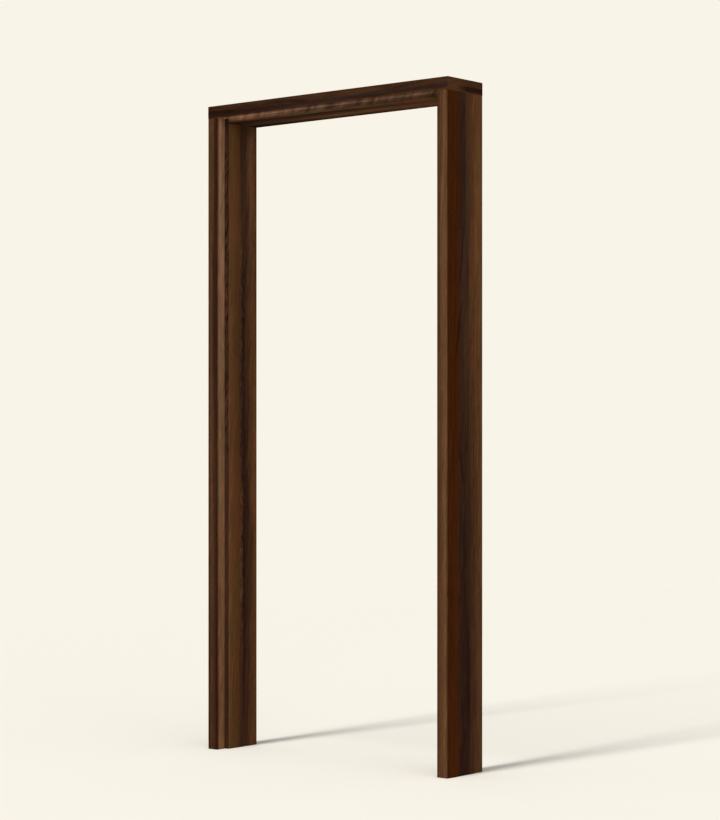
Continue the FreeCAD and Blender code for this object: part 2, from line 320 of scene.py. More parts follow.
def veined(tree, shade, along, tape, waver, veins):
    """The shade with mineral veins: dark lines at a slant.

    Each goes from one place (mm along, mm on the tape) to another, and has a width and a
    depth. It is crisp at that line and fades over its width to one side of it.
    """
    for (from_along, from_tape), (to_along, to_tape), width, depth in veins:
        slope = (to_tape - from_tape) / (to_along - from_along)
        line = put(tree, "ShaderNodeMath", {
            0: along, 1: -slope, 2: slope * from_along - from_tape}, operation="MULTIPLY_ADD")
        off_line = put(tree, "ShaderNodeMath", {0: line.outputs[0], 1: tape}, operation="ADD")
        wavy = put(tree, "ShaderNodeMath", {0: off_line.outputs[0], 1: waver}, operation="ADD")
        crisp = put(tree, "ShaderNodeMapRange", {
            "Value": wavy.outputs[0], "From Min": -math.copysign(VEIN_EDGE, width),
            "From Max": 0.0})
        soft = put(tree, "ShaderNodeMapRange", {
            "Value": wavy.outputs[0], "From Min": 0.0, "From Max": width,
            "To Min": 1.0, "To Max": 0.0})
        aside = put(tree, "ShaderNodeMath", {
            0: crisp.outputs[0], 1: soft.outputs[0]}, operation="MULTIPLY")
        ends = window(
            tree, along, (from_along + to_along) / 2, abs(to_along - from_along) / 2, firm=0.4)
        mark = put(tree, "ShaderNodeMath", {0: aside.outputs[0], 1: ends}, operation="MULTIPLY")
        left = put(tree, "ShaderNodeMath", {
            0: mark.outputs[0], 1: -depth, 2: 1.0}, operation="MULTIPLY_ADD")
        shade = put(tree, "ShaderNodeMath", {
            0: shade, 1: left.outputs[0]}, operation="MULTIPLY").outputs[0]
    return shade


# Where on its noise a tick starts and where it is full, and what sets its noise apart
TICK_START = 0.49
TICK_FULL = 0.56
TICK_SEED = 3


def ticked(tree, shade, along, tape, face_place, seed, ticks):
    """The shade with ticks: short slanted marks where rings run out of a face.

    Each row of them has a stretch along and a stretch of the tape, and the ticks' slant,
    width, length and depth, which is below 0 for pale ones.
    """
    for (from_along, to_along), (from_tape, to_tape), slant, width, size, depth in ticks:
        marks = slanted_noise(tree, face_place, slant, width, size, seed + TICK_SEED)
        tick = put(tree, "ShaderNodeMapRange", {
            "Value": marks, "From Min": TICK_START, "From Max": TICK_FULL,
            "To Min": 0.0, "To Max": depth})
        ends = window(
            tree, along, (from_along + to_along) / 2, (to_along - from_along) / 2, firm=0.8)
        sides = window(
            tree, tape, (from_tape + to_tape) / 2, (to_tape - from_tape) / 2, firm=0.6)
        mark = put(tree, "ShaderNodeMath", {0: ends, 1: sides}, operation="MULTIPLY")
        mark = put(
            tree, "ShaderNodeMath", {0: mark.outputs[0], 1: tick.outputs[0]}, operation="MULTIPLY")
        left = put(tree, "ShaderNodeMath", {0: 1.0, 1: mark.outputs[0]}, operation="SUBTRACT")
        shade = put(tree, "ShaderNodeMath", {
            0: shade, 1: left.outputs[0]}, operation="MULTIPLY").outputs[0]
    return shade


# Where an end darkens: from and to how far back it gets darker, and round which place in from
# the outer face, and how far to its sides, its darkest band lies, all in mm
END_DARK_FROM = 50
END_DARK_TO = 95
END_BAND_MIDDLE = 0.7 * LIP_THICKNESS
END_BAND_REACH = 11


def end_tone(tree, inward, back):
    """The tone of a board's ends: darker towards the back, and darkest there in a band in from the
    outer face.
    """
    wood = blended(
        tree, back, END_DARK_FROM, END_DARK_TO, linear(TONES["brown"]), linear(TONES["shade"]))
    end_darkening = put(tree, "ShaderNodeMapRange", {
        "Value": back, "From Min": END_DARK_FROM, "From Max": END_DARK_TO})
    end_band = put(tree, "ShaderNodeMath", {
        0: window(tree, inward, END_BAND_MIDDLE, END_BAND_REACH, firm=0.4), 1: end_darkening.outputs[0]},
        operation="MULTIPLY")
    return put(tree, "ShaderNodeMix", {
        "Factor": end_band.outputs[0], COLOUR_A: wood, COLOUR_B: linear(TONES["vein"])},
        data_type="RGBA").outputs[COLOUR_RESULT]


# Patches of the grain: mm across it, mm along it, and the noise's detail and roughness.
# Real fibres start at 0.5 mm wide and real pores are half as wide as here: both are drawn
# as coarse as they need to show.
WAVE = (60, 480, 3.0, 0.5)
STREAK = (9, 260, 4.0, 0.62)
FIBRE = (3, 200, 4.0, 0.65)
CLOUD = (38, 85, 3.0, 0.55)
PORE = (0.9, 20, 1.0, 0.5)
HUE_PATCH = (22, 170, 3.0, 0.6)
FLAME_WIDTH = 8
FLAME_LENGTH = 130

# In mm: the reach to which each carries a band aside, and the waver that it gives a vein
WAVE_REACH = 7
STREAK_REACH = 8
FLAME_REACH = 7
STREAK_WAVER = 4
FLAME_WAVER = 3

# Growth rings: how far apart in mm, how much of a band's straying they share, and the slope
# in radians of the log's heart to the board
RING_SPACING = 5
RING_STRAY = 0.5
HEART_SLOPE = (0.012, 0.009, 0)

# Curl on the rebate: how far apart in mm its ripples are, how many mm along they lean for
# each mm across, and round which place on the tape, and how far to its sides, they show
RIPPLE_SPACING = 50
RIPPLE_LEAN = 0.9
RIPPLE_MIDDLE = FACES["rebate"] + 21
RIPPLE_REACH = 28
RIPPLE_RANGE = {"To Min": -0.8, "To Max": 1.0}

# The darkest and the lightest that each makes the wood, as a share of its tone
RING_SHADE = (0.78, 1.16)
FIBRE_SHADE = (0.86, 1.15)
FLAME_SHADE = (0.87, 1.14)

# Where on its noise an open pore starts and where it is full, and what it keeps of the tone
PORE_START = 0.6
PORE_FULL = 0.7
PORE_SHADE = 0.72

# What a patch that leans to either hue keeps of red, green and blue
ROSE = (1.08, 0.95, 1.02, 1.0)
OLIVE = (0.92, 1.04, 0.94, 1.0)

# A face is an end where this much of its direction goes along the grain
END_FACING = 0.7

# The surface: from the darkest shade, in a pore, to the lightest it gets less rough, and its
# relief is as deep as fibres stand up
DARKEST = 0.6
LIGHTEST = 1.2
PORE_ROUGHNESS = 0.66
WOOD_ROUGHNESS = 0.5
RELIEF_DEPTH = 0.2 * MM


def walnut(name, place, grain_axis, length, stations, course, heart, seed,
           veins=(), ticks=(), lean=-9, clouds=0.08, curl=0.05, specular=0.01):
    """Oiled walnut for one board.

    place turns object coordinates into the board's own, in mm: in from the outer face, back
    from the front, and along the grain. stations are (mm along, tones there), course how far
    the bands have drifted (mm along, mm), and heart the middle of the log. seed sets the
    board's noises apart from another's. lean is the flames' slant in degrees, clouds and curl
    are how strong the soft patches and the rebate's ripples are, and specular is how much the
    oil shines.
    """
    material, tree, shader = start_material(name)
    coordinates = put(tree, "ShaderNodeTexCoord")
    board = put(tree, "ShaderNodeMapping", {
        "Vector": coordinates.outputs["Object"], **place}).outputs[0]
    inward, back, along = put(tree, "ShaderNodeSeparateXYZ", {0: board}).outputs
    tape = tape_round(tree, inward, back)
    face_place = put(tree, "ShaderNodeCombineXYZ", {0: tape, 1: along}).outputs[0]

    # The bands stray from straight, as growth rings do: long waves, long streaks that feather
    # their edges, slanted flames, and the board's own course
    wave = grain_noise(tree, board, WAVE, seed)
    streak = grain_noise(tree, board, STREAK, seed)
    flame = slanted_noise(tree, face_place, lean, FLAME_WIDTH, FLAME_LENGTH, seed)
    stray = drifted(tree, along, length, course)
    stray = swayed(tree, stray, wave, WAVE_REACH)
    stray = swayed(tree, stray, streak, STREAK_REACH)
    stray = swayed(tree, stray, flame, FLAME_REACH)
    tape_share = put(tree, "ShaderNodeMath", {0: tape, 1: GIRTH}, operation="DIVIDE")
    free = put(tree, "ShaderNodeValToRGB", {0: tape_share.outputs[0]})
    fill_ramp(free.color_ramp, free_stops())
    band = put(tree, "ShaderNodeMath", {
        0: stray, 1: free.outputs[0], 2: tape}, operation="MULTIPLY_ADD").outputs[0]
    tone = blended_stations(tree, band, along, stations)

    # Growth rings round the log's heart, which lies outside the board and at a slight slope
    # to it, so that rings run out of a face in long points
    log = put(tree, "ShaderNodeMapping", {
        "Vector": board, "Location": heart, "Rotation": HEART_SLOPE})
    log_section = put(tree, "ShaderNodeVectorMath", {
        0: log.outputs[0], 1: (1, 1, 0)}, operation="MULTIPLY")
    radius = put(tree, "ShaderNodeVectorMath", {0: log_section.outputs[0]}, operation="LENGTH")
    ring_place = put(tree, "ShaderNodeMath", {
        0: stray, 1: RING_STRAY, 2: radius.outputs["Value"]}, operation="MULTIPLY_ADD")
    ring = stripe_noise(tree, ring_place.outputs[0], RING_SPACING, 2.0, 0.55)

    # Curl: ripples that lean across the grain, on the rebate only
    ripple_place = put(tree, "ShaderNodeMath", {
        0: tape, 1: RIPPLE_LEAN, 2: along}, operation="MULTIPLY_ADD")
    ripple = put(tree, "ShaderNodeMapRange", {
        "Value": stripe_noise(tree, ripple_place.outputs[0], RIPPLE_SPACING, 4.0, 0.65),
        **NOISE_RANGE, **RIPPLE_RANGE})
    on_rebate = window(tree, tape, RIPPLE_MIDDLE, RIPPLE_REACH, firm=0.8)
    ripple_reach = put(tree, "ShaderNodeMath", {0: on_rebate, 1: curl}, operation="MULTIPLY")
    ripple_shade = put(tree, "ShaderNodeMath", {
        0: ripple.outputs[0], 1: ripple_reach.outputs[0], 2: 1.0}, operation="MULTIPLY_ADD")

    # Open pores are dark dashes; an end shows only them and the rings
    pores = put(tree, "ShaderNodeMapRange", {
        "Value": grain_noise(tree, board, PORE, seed), "From Min": PORE_START,
        "From Max": PORE_FULL, "To Min": 1.0, "To Max": PORE_SHADE})
    end_shade = shaded(tree, pores.outputs[0], ring, *RING_SHADE)
    shade = shaded(tree, end_shade, grain_noise(tree, board, FIBRE, seed), *FIBRE_SHADE)
    shade = shaded(tree, shade, flame, *FLAME_SHADE)
    shade = shaded(tree, shade, grain_noise(tree, board, CLOUD, seed), 1 - clouds, 1 + clouds)
    shade = put(tree, "ShaderNodeMath", {
        0: shade, 1: ripple_shade.outputs[0]}, operation="MULTIPLY").outputs[0]
    waver = swayed(tree, swayed(tree, 0.0, streak, STREAK_WAVER), flame, FLAME_WAVER)
    shade = veined(tree, shade, along, tape, waver, veins)
    shade = ticked(tree, shade, along, tape, face_place, seed, ticks)

    # The ends have a tone and a shade of their own
    facing = put(tree, "ShaderNodeSeparateXYZ", {0: coordinates.outputs["Normal"]})
    along_facing = put(tree, "ShaderNodeMath", {
        0: facing.outputs[grain_axis]}, operation="ABSOLUTE")
    on_end = put(tree, "ShaderNodeMath", {
        0: along_facing.outputs[0], 1: END_FACING}, operation="GREATER_THAN").outputs[0]
    tone = put(tree, "ShaderNodeMix", {
        "Factor": on_end, COLOUR_A: tone, COLOUR_B: end_tone(tree, inward, back)},
        data_type="RGBA").outputs[COLOUR_RESULT]
    shade = put(tree, "ShaderNodeMix", {"Factor": on_end, "A": shade, "B": end_shade}).outputs[0]

    # Walnut isn't one hue: patches lean to rose, and others to olive
    hue_noise = grain_noise(tree, board, HUE_PATCH, seed)
    hue = blended(tree, hue_noise, NOISE_LOW, NOISE_HIGH, ROSE, OLIVE)
    tone = put(tree, "ShaderNodeVectorMath", {0: tone, 1: hue}, operation="MULTIPLY").outputs[0]
    colour = put(tree, "ShaderNodeVectorMath", {0: tone, "Scale": shade}, operation="SCALE")
    tree.links.new(colour.outputs[0], shader.inputs["Base Color"])

    # Oiled surface: duller in the pores, a trace of relief from fibres and pores
    rough = put(tree, "ShaderNodeMapRange", {
        "Value": shade, "From Min": DARKEST, "From Max": LIGHTEST,
        "To Min": PORE_ROUGHNESS, "To Max": WOOD_ROUGHNESS})
    tree.links.new(rough.outputs[0], shader.inputs["Roughness"])
    relief = put(tree, "ShaderNodeBump", {
        "Height": shade, "Strength": 0.3, "Distance": RELIEF_DEPTH})
    tree.links.new(relief.outputs[0], shader.inputs["Normal"])
    shader.inputs["Specular IOR Level"].default_value = specular
    return material


def dress(node, material):
    """Gives a CAD node the material."""
    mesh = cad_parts[node].data
    mesh.materials.clear()
    mesh.materials.append(material)


# On the rebate the light tones are partly the wood and partly a painted sheen, and ink at a face's
# edge is a thin painted shade along that arris.
LEFT_FOOT = {
    "outer": [(0, "umber"), (50, "gold"), (110, "shade"), (175, "brown")],
    "lip": [(0, "ink"), (4, "umber"), (14, "shade"), (26, "umber"), (34, "vein"), (40, "ink")],
    "rebate": [(0, "ink"), (4, "brown"), (9, "amber"), (33, "tan"), (38, "shade")],
    "stop": [(0, "shade"), (15, "vein")],
    "inner": [(0, "warm"), (20, "bronze"), (36, "bronze"), (48, "shade"), (60, "umber"),
              (70, "umber"), (82, "umber"), (92, "umber"), (106, "shade"), (128, "rust"),
              (134, "rust"), (137, "ink")],
    "back": [(0, "brown"), (30, "shade"), (55, "umber")],
}
LEFT_MIDDLE = {
    **LEFT_FOOT,
    "lip": [(0, "ink"), (4, "umber"), (12, "brown"), (21, "brown"), (30, "umber"), (40, "vein")],
    "rebate": [(0, "ink"), (4, "warm"), (14, "light"), (34, "light"), (38, "brown")],
    "stop": [(0, "brown"), (15, "dusk")],
    "inner": [(0, "warm"), (20, "gold"), (36, "rust"), (48, "brown"), (58, "shade"),
              (66, "umber"), (80, "dusk"), (98, "umber"), (108, "shade"), (120, "rust"),
              (132, "gold"), (137, "ink")],
}
LEFT_TOP = {
    **LEFT_FOOT,
    "lip": [(0, "ink"), (4, "brown"), (16, "brown"), (23, "umber"), (32, "vein"), (40, "vein")],
    "rebate": [(0, "umber"), (3, "warm"), (8, "pale"), (34, "pale"), (38, "rust")],
    "inner": [(0, "warm"), (20, "gold"), (36, "rust"), (46, "brown"), (56, "shade"),
              (64, "smoke"), (74, "smoke"), (90, "rust"), (106, "chestnut"), (118, "gold"),
              (130, "brown"), (137, "ink")],
}
LEFT_COURSE = [(0, 0), (400, -3), (900, 3), (1400, 2), (1700, -4), (2060, -4)]
STOP_START = FACES["stop"]
INNER_START = FACES["inner"]
LEFT_VEINS = [
    ((60, INNER_START + 68), (640, INNER_START + 72), 16, 0.4),
    ((500, INNER_START + 70), (1020, INNER_START + 64), 24, 0.35),
    ((860, INNER_START + 62), (1420, INNER_START + 66), 26, 0.35),
    ((1300, INNER_START + 66), (1720, INNER_START + 62), 18, 0.35),
    ((1640, INNER_START + 64), (2160, INNER_START + 60), 9, 0.45),
]
LEFT_TICKS = [
    ((880, 2070), (STOP_START - 3, STOP_START + 18), -13, 3.2, 34, 0.75),
    ((880, 2070), (STOP_START - 3, STOP_START + 18), -16, 4.5, 60, -0.6),
    ((300, 1720), (INNER_START + 54, INNER_START + 72), 15, 2.6, 24, -1.0),
    ((300, 1720), (INNER_START + 56, INNER_START + 82), 12, 2.8, 30, 0.5),
]

dress("left_jamb", walnut(
    "oiled_walnut_left_jamb",
    place={"Location": (HALF_WIDTH, FRAME_DEPTH / 2, 0),
           "Scale": (PER_METRE, PER_METRE, PER_METRE)},
    grain_axis="Z", length=JAMB_LENGTH,
    stations=[(100, LEFT_FOOT), (900, LEFT_MIDDLE), (1900, LEFT_TOP)],
    course=LEFT_COURSE, heart=(-180, -60, 0), seed=1.3, veins=LEFT_VEINS, ticks=LEFT_TICKS))

# Right jamb: the same moulding with the rebate on the other hand, from a board nearer the
# log's heart. Its broad outer face is reddish in front and brown behind, and an almost
# black streak wanders between the two, with flames at its edges.

# Ink at the outer face's front edge is a thin painted shade along that arris.
RIGHT_FOOT = {
    "outer": [(0, "umber"), (3, "brown"), (20, "brown"), (35, "shade"), (50, "umber"),
              (62, "umber"), (72, "vein"), (98, "vein"), (114, "vein"), (124, "russet"),
              (135, "red"), (173, "red"), (175, "ink")],
    "lip": [(0, "umber"), (2, "brown"), (10, "warm"), (20, "rust"), (30, "brown"), (37, "shade"),
            (40, "vein")],
    "rebate": [(0, "brown"), (38, "brown")],
    "stop": [(0, "umber"), (15, "shade")],
    "inner": [(0, "gold"), (50, "shade"), (100, "umber"), (137, "brown")],
    "back": [(0, "brown"), (55, "shade")],
}
RIGHT_TOP = {
    **RIGHT_FOOT,
    "outer": [(0, "umber"), (3, "chestnut"), (26, "gold"), (41, "gold"), (52, "brown"),
              (63, "brown"), (76, "shade"), (88, "smoke"), (98, "smoke"), (108, "umber"),
              (120, "russet"), (135, "red"), (173, "red"), (175, "ink")],
    "lip": [(0, "umber"), (2, "gold"), (10, "warm"), (20, "warm"), (30, "brown"), (37, "shade"),
            (40, "vein")],
}
RIGHT_COURSE = [(0, 2), (300, 0), (600, 3), (950, 4), (1300, 0), (1650, 2), (2060, 2)]
RIGHT_VEINS = [
    ((1590, 86), (2140, 92), 40, 0.4),
    ((1450, 118), (1700, 84), 14, 0.5),
    ((1250, 134), (1450, 98), 12, 0.5),
    ((1260, 70), (1640, 72), 18, 0.3),
    ((840, 74), (1340, 70), 10, 0.3),
    ((800, 88), (1300, 84), 9, 0.3),
    ((860, 102), (1360, 96), 10, 0.25),
    ((840, 92), (1030, 130), -14, 0.45),
    ((420, 84), (900, 88), 26, 0.25),
    ((90, 66), (560, 68), 26, 0.4),
    ((20, 118), (240, 88), 7, 0.4),
    ((-60, 112), (160, 82), 7, 0.4),
    ((-90, 98), (110, 72), 6, 0.35),
]

dress("right_jamb", walnut(
    "oiled_walnut_right_jamb",
    place={"Location": (HALF_WIDTH, FRAME_DEPTH / 2, 0),
           "Scale": (-PER_METRE, PER_METRE, PER_METRE)},
    grain_axis="Z", length=JAMB_LENGTH, stations=[(200, RIGHT_FOOT), (1600, RIGHT_TOP)],
    course=RIGHT_COURSE, heart=(120, -120, 0), seed=4.1, veins=RIGHT_VEINS, lean=8))

# Corner dowels: two grooved beech dowels a corner, glued into the jambs' end grain before
# the head goes on, so that it can't slide or twist. Beech is pale and pinkish, close
# grained, with short brown flecks, and it is left raw because it is never seen.

BEECH = "#DDBB93"
BEECH_DARK = "#C69C72"
BEECH_FLECK = "#A87B53"

# Growth bands and flecks of beech, in mm
BAND_WIDTH = 2
BAND_LENGTH = 60
FLECK_WIDTH = 0.4
FLECK_LENGTH = 2.5

beech, tree, shader = start_material("raw_turned_beech")
place = put(tree, "ShaderNodeTexCoord")
in_mm = put(tree, "ShaderNodeVectorMath", {
    0: place.outputs["Object"], "Scale": PER_METRE}, operation="SCALE")
band_place = put(tree, "ShaderNodeVectorMath", {
    0: in_mm.outputs[0], 1: (1 / BAND_WIDTH, 1 / BAND_WIDTH, 1 / BAND_LENGTH)},
    operation="MULTIPLY")
band = put(tree, "ShaderNodeTexNoise", {
    "Vector": band_place.outputs[0], "Scale": 1.0, "Detail": 3.0})
banded = blended(tree, band.outputs[0], 0.35, 0.65, linear(BEECH), linear(BEECH_DARK))
fleck_place = put(tree, "ShaderNodeVectorMath", {
    0: in_mm.outputs[0], 1: (1 / FLECK_WIDTH, 1 / FLECK_WIDTH, 1 / FLECK_LENGTH)},
    operation="MULTIPLY")
fleck = put(tree, "ShaderNodeTexNoise", {
    "Vector": fleck_place.outputs[0], "Scale": 1.0, "Detail": 1.0})
flecked = blended(tree, fleck.outputs[0], 0.62, 0.7, banded, linear(BEECH_FLECK))
tree.links.new(flecked, shader.inputs["Base Color"])
shader.inputs["Roughness"].default_value = 0.75
shader.inputs["Specular IOR Level"].default_value = 0.3

dress("left_corner_dowels", beech)
dress("right_corner_dowels", beech)

# Head: the cross member, one length of the same moulding that lies over both jambs.
# Dowels and screws hold it, and its stop is cut back at both ends to drop between them.
# Its front is dark and cloudy, and its rebate holds the most mottled wood, whose pale tones
# are partly the wood and partly a painted sheen.

HEAD_LENGTH = 2 * HALF_WIDTH
# In all three, the rebate's and the stop's pale tones are partly the wood and partly a painted
# sheen, and ink at a face's edge is a thin painted shade along that arris.
HEAD_LEFT = {
    "outer": [(0, "brown"), (60, "shade"), (110, "umber"), (175, "brown")],
    "lip": [(0, "umber"), (10, "umber"), (20, "vein"), (30, "vein"), (40, "vein")],
    "rebate": [(0, "warm"), (8, "tan"), (16, "light"), (27, "pale"), (38, "blush")],
    "stop": [(0, "blush"), (4, "pale"), (8, "light"), (11, "chestnut"), (15, "shade")],
    # The soffit is darkest here at the left end: partly the wood's streaks and partly painted
    # shade from the corner with the left jamb.
    "inner": [(0, "vein"), (10, "vein"), (27, "umber"), (45, "smoke"), (88, "smoke"),
              (106, "ink"), (137, "ink")],
    "back": [(0, "brown"), (30, "shade"), (55, "brown")],
}
HEAD_MIDDLE = {
    **HEAD_LEFT,
    "lip": [(0, "umber"), (10, "shade"), (20, "smoke"), (30, "dusk"), (40, "smoke")],
    "rebate": [(0, "chestnut"), (14, "mauve"), (30, "rose"), (38, "rose")],
    "stop": [(0, "tan"), (15, "mauve")],
    "inner": [(0, "umber"), (10, "dusk"), (30, "dusk"), (50, "shade"), (66, "chestnut"),
              (90, "chestnut"), (104, "shade"), (137, "ink")],
}
HEAD_RIGHT = {
    **HEAD_LEFT,
    "lip": [(0, "umber"), (8, "shade"), (18, "smoke"), (30, "dusk"), (36, "shade"),
            (40, "brown")],
    "rebate": [(0, "chestnut"), (8, "mauve"), (22, "mauve"), (38, "rose")],
    "stop": [(0, "mauve"), (7, "chestnut"), (15, "warm")],
    "inner": [(0, "chestnut"), (8, "rust"), (27, "brown"), (52, "brown"), (77, "chestnut"),
              (100, "rust"), (122, "shade"), (132, "umber"), (137, "ink")],
}
HEAD_COURSE = [(0, 0), (500, 2), (985, 0)]
LIP_START = FACES["lip"]
HEAD_VEINS = [
    ((-60, LIP_START + 12), (160, LIP_START + 26), 12, 0.45),
    ((240, LIP_START + 12), (460, LIP_START + 24), -12, 0.45),
    ((560, LIP_START + 22), (780, LIP_START + 34), 10, 0.4),
    ((700, LIP_START + 16), (900, LIP_START + 8), -9, 0.35),
]

dress("head", walnut(
    "oiled_walnut_head",
    place={"Location": (cad_high.z * PER_METRE, FRAME_DEPTH / 2, HALF_WIDTH),
           "Rotation": (0, math.radians(90), 0), "Scale": (-PER_METRE, PER_METRE, -PER_METRE)},
    grain_axis="X", length=HEAD_LENGTH,
    stations=[(80, HEAD_LEFT), (450, HEAD_MIDDLE), (850, HEAD_RIGHT)],
    course=HEAD_COURSE, heart=(-220, -60, 0), seed=7.7, veins=HEAD_VEINS,
    clouds=0.2, curl=0.6, specular=0.0))

# Corner screws: three long countersunk wood screws a corner, driven down through the head
# into the jambs' end grain until they lie just under its top face. Each is one length of
# steel wire with a cold-formed head and a rolled thread, plated with zinc and passivated.

left_low, left_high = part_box("left_corner_screws")
right_low, right_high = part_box("right_corner_screws")
HEAD_RADIUS = (left_high.x - left_low.x) / 2
SCREW_LENGTH = left_high.z - left_low.z
HEAD_SIDES = 32
RIM_EDGE = 0.25 * MM
RIM_DEPTH = 0.8 * MM
SHANK_RADIUS = 2.2 * MM
CORE_RADIUS = 2.0 * MM
CREST_RADIUS = 3.0 * MM
TIP_RADIUS = 0.3 * MM
THREAD_START = 50 * MM
POINT_START = 112 * MM
THREAD_PITCH = 2.8 * MM
THREAD_TURNS = 22
STEPS_PER_TURN = 20
RECESS_SPAN = 6 * MM
RECESS_SLOT = 1.3 * MM
RECESS_DEPTH = 2.8 * MM

# What the recess keeps of its span and its slot at its bottom
RECESS_TAPER = (0.35, 0.6, 1)

# From the ridge's middle to its crest, so that its foot lies well inside the core, and what
# the ends of the ridge keep of their distance from the axis
RIDGE_RADIUS = (CREST_RADIUS - CORE_RADIUS) / 1.2
RIDGE_SINK = (0.6, 0.6, 1)
RIDGE_SIDES = 3


def carve(piece, tool, operation):
    """Cuts the tool out of the piece, or joins it on, and throws the tool away."""
    bpy.ops.object.select_all(action="DESELECT")
    bpy.context.view_layer.objects.active = piece
    change = piece.modifiers.new("change", "BOOLEAN")
    change.operation = operation
    change.solver = "EXACT"
    change.object = tool
    bpy.ops.object.modifier_apply(modifier=change.name)
    bpy.data.objects.remove(tool)


def pick(piece, wanted):
    """Selects the vertices that are wanted, and leaves the piece in edit mode."""
    bpy.ops.object.mode_set(mode="EDIT")
    bpy.ops.mesh.select_mode(type="VERT")
    bpy.ops.mesh.select_all(action="DESELECT")
    bpy.ops.object.mode_set(mode="OBJECT")
    for vertex in piece.data.vertices:
        vertex.select = wanted(vertex.co)
    bpy.ops.object.mode_set(mode="EDIT")


# Blank: a disc drawn down in steps into rim, cone, shank, core and point
cone_end = RIM_DEPTH + HEAD_RADIUS - SHANK_RADIUS
bpy.ops.object.select_all(action="DESELECT")
bpy.ops.mesh.primitive_circle_add(
    vertices=HEAD_SIDES, radius=HEAD_RADIUS - RIM_EDGE, fill_type="NGON", location=(0, 0, 0))
screw = bpy.context.object
bpy.ops.object.mode_set(mode="EDIT")
depth, radius = 0.0, HEAD_RADIUS - RIM_EDGE
for next_depth, next_radius in (
        (RIM_EDGE, HEAD_RADIUS), (RIM_DEPTH, HEAD_RADIUS), (cone_end, SHANK_RADIUS),
        (THREAD_START, SHANK_RADIUS), (THREAD_START + THREAD_PITCH, CORE_RADIUS),
        (POINT_START, CORE_RADIUS), (SCREW_LENGTH, TIP_RADIUS)):
    bpy.ops.mesh.extrude_region_move(
        TRANSFORM_OT_translate={"value": (0, 0, depth - next_depth)})
    growth = next_radius / radius
    bpy.ops.transform.resize(value=(growth, growth, 1), center_override=(0, 0, -next_depth))
    depth, radius = next_depth, next_radius
bpy.ops.mesh.select_all(action="SELECT")
bpy.ops.mesh.normals_make_consistent(inside=False)
bpy.ops.object.mode_set(mode="OBJECT")

# Cross recess: two bars that narrow downwards, sunk into the head
for turn in (0, math.pi / 2):
    bpy.ops.object.select_all(action="DESELECT")
    bpy.ops.mesh.primitive_cube_add(size=1, location=(0, 0, 0))
    bar = bpy.context.object
    pick(bar, lambda place: True)
    bpy.ops.transform.resize(
        value=(RECESS_SPAN, RECESS_SLOT, 2 * RECESS_DEPTH), center_override=(0, 0, 0))
    pick(bar, lambda place: place.z < 0)
    bpy.ops.transform.resize(value=RECESS_TAPER, center_override=(0, 0, -RECESS_DEPTH))
    bpy.ops.mesh.select_all(action="SELECT")
    bpy.ops.transform.rotate(value=turn, orient_axis="Z", center_override=(0, 0, 0))
    bpy.ops.object.mode_set(mode="OBJECT")
    carve(screw, bar, "DIFFERENCE")

# Thread: a three-sided ridge wound round the core, whose ends sink into it
bpy.ops.object.select_all(action="DESELECT")
bpy.ops.mesh.primitive_circle_add(
    vertices=RIDGE_SIDES, radius=RIDGE_RADIUS, fill_type="NOTHING",
    location=(CREST_RADIUS - RIDGE_RADIUS, 0, 0), rotation=(math.pi / 2, math.pi / 2, 0))
ridge = bpy.context.object
bpy.ops.object.transform_apply()
winding = ridge.modifiers.new("winding", "SCREW")
winding.angle = 2 * math.pi * THREAD_TURNS
winding.screw_offset = THREAD_TURNS * THREAD_PITCH
winding.steps = THREAD_TURNS * STEPS_PER_TURN
winding.render_steps = THREAD_TURNS * STEPS_PER_TURN
bpy.ops.object.modifier_apply(modifier=winding.name)
pick(ridge, lambda place: True)
bpy.ops.mesh.fill_holes(sides=RIDGE_SIDES)
bpy.ops.mesh.select_all(action="SELECT")
thread_top = -(THREAD_START + THREAD_PITCH / 2)
thread_bottom = thread_top - THREAD_TURNS * THREAD_PITCH
bpy.ops.transform.translate(value=(0, 0, thread_bottom))
bpy.ops.mesh.normals_make_consistent(inside=False)
bpy.ops.object.mode_set(mode="OBJECT")
for end in (thread_top, thread_bottom):
    pick(ridge, lambda place, end=end: abs(place.z - end) < RIDGE_RADIUS)
    bpy.ops.transform.resize(
        value=RIDGE_SINK, center_override=(0, 0, 0), use_proportional_edit=True,
        proportional_edit_falloff="SMOOTH", proportional_size=THREAD_PITCH / 2)
    bpy.ops.object.mode_set(mode="OBJECT")
carve(screw, ridge, "UNION")

# Zinc over steel: a bright metal, yellowed in soft patches by its passivation, with a fine
# grey grain where the plating is crystalline
ZINC = "#D9CDA4"
ZINC_YELLOW = "#C4AE72"
ZINC_GRAIN = "#A39B86"

# Sizes of the patches and of the grain in mm, and how deep the grain's pits are
PATCH_SIZE = 4
CRYSTAL_SIZE = 0.4
PIT_DEPTH = 0.03 * MM

zinc, tree, shader = start_material("passivated_zinc_plated_steel")
place = put(tree, "ShaderNodeTexCoord")
in_mm = put(tree, "ShaderNodeVectorMath", {
    0: place.outputs["Object"], "Scale": PER_METRE}, operation="SCALE")
patch = put(tree, "ShaderNodeTexNoise", {
    "Vector": in_mm.outputs[0], "Scale": 1 / PATCH_SIZE, "Detail": 2.0})
patched = blended(tree, patch.outputs[0], 0.35, 0.65, linear(ZINC), linear(ZINC_YELLOW))
grain = put(tree, "ShaderNodeTexNoise", {
    "Vector": in_mm.outputs[0], "Scale": 1 / CRYSTAL_SIZE, "Detail": 3.0})
grained = blended(tree, grain.outputs[0], 0.5, 0.8, patched, linear(ZINC_GRAIN))
tree.links.new(grained, shader.inputs["Base Color"])
dull = put(tree, "ShaderNodeMapRange", {
    "Value": grain.outputs[0], **NOISE_RANGE, "To Min": 0.28, "To Max": 0.46})
tree.links.new(dull.outputs[0], shader.inputs["Roughness"])
pitted = put(tree, "ShaderNodeBump", {
    "Height": grain.outputs[0], "Strength": 0.25, "Distance": PIT_DEPTH})
tree.links.new(pitted.outputs[0], shader.inputs["Normal"])
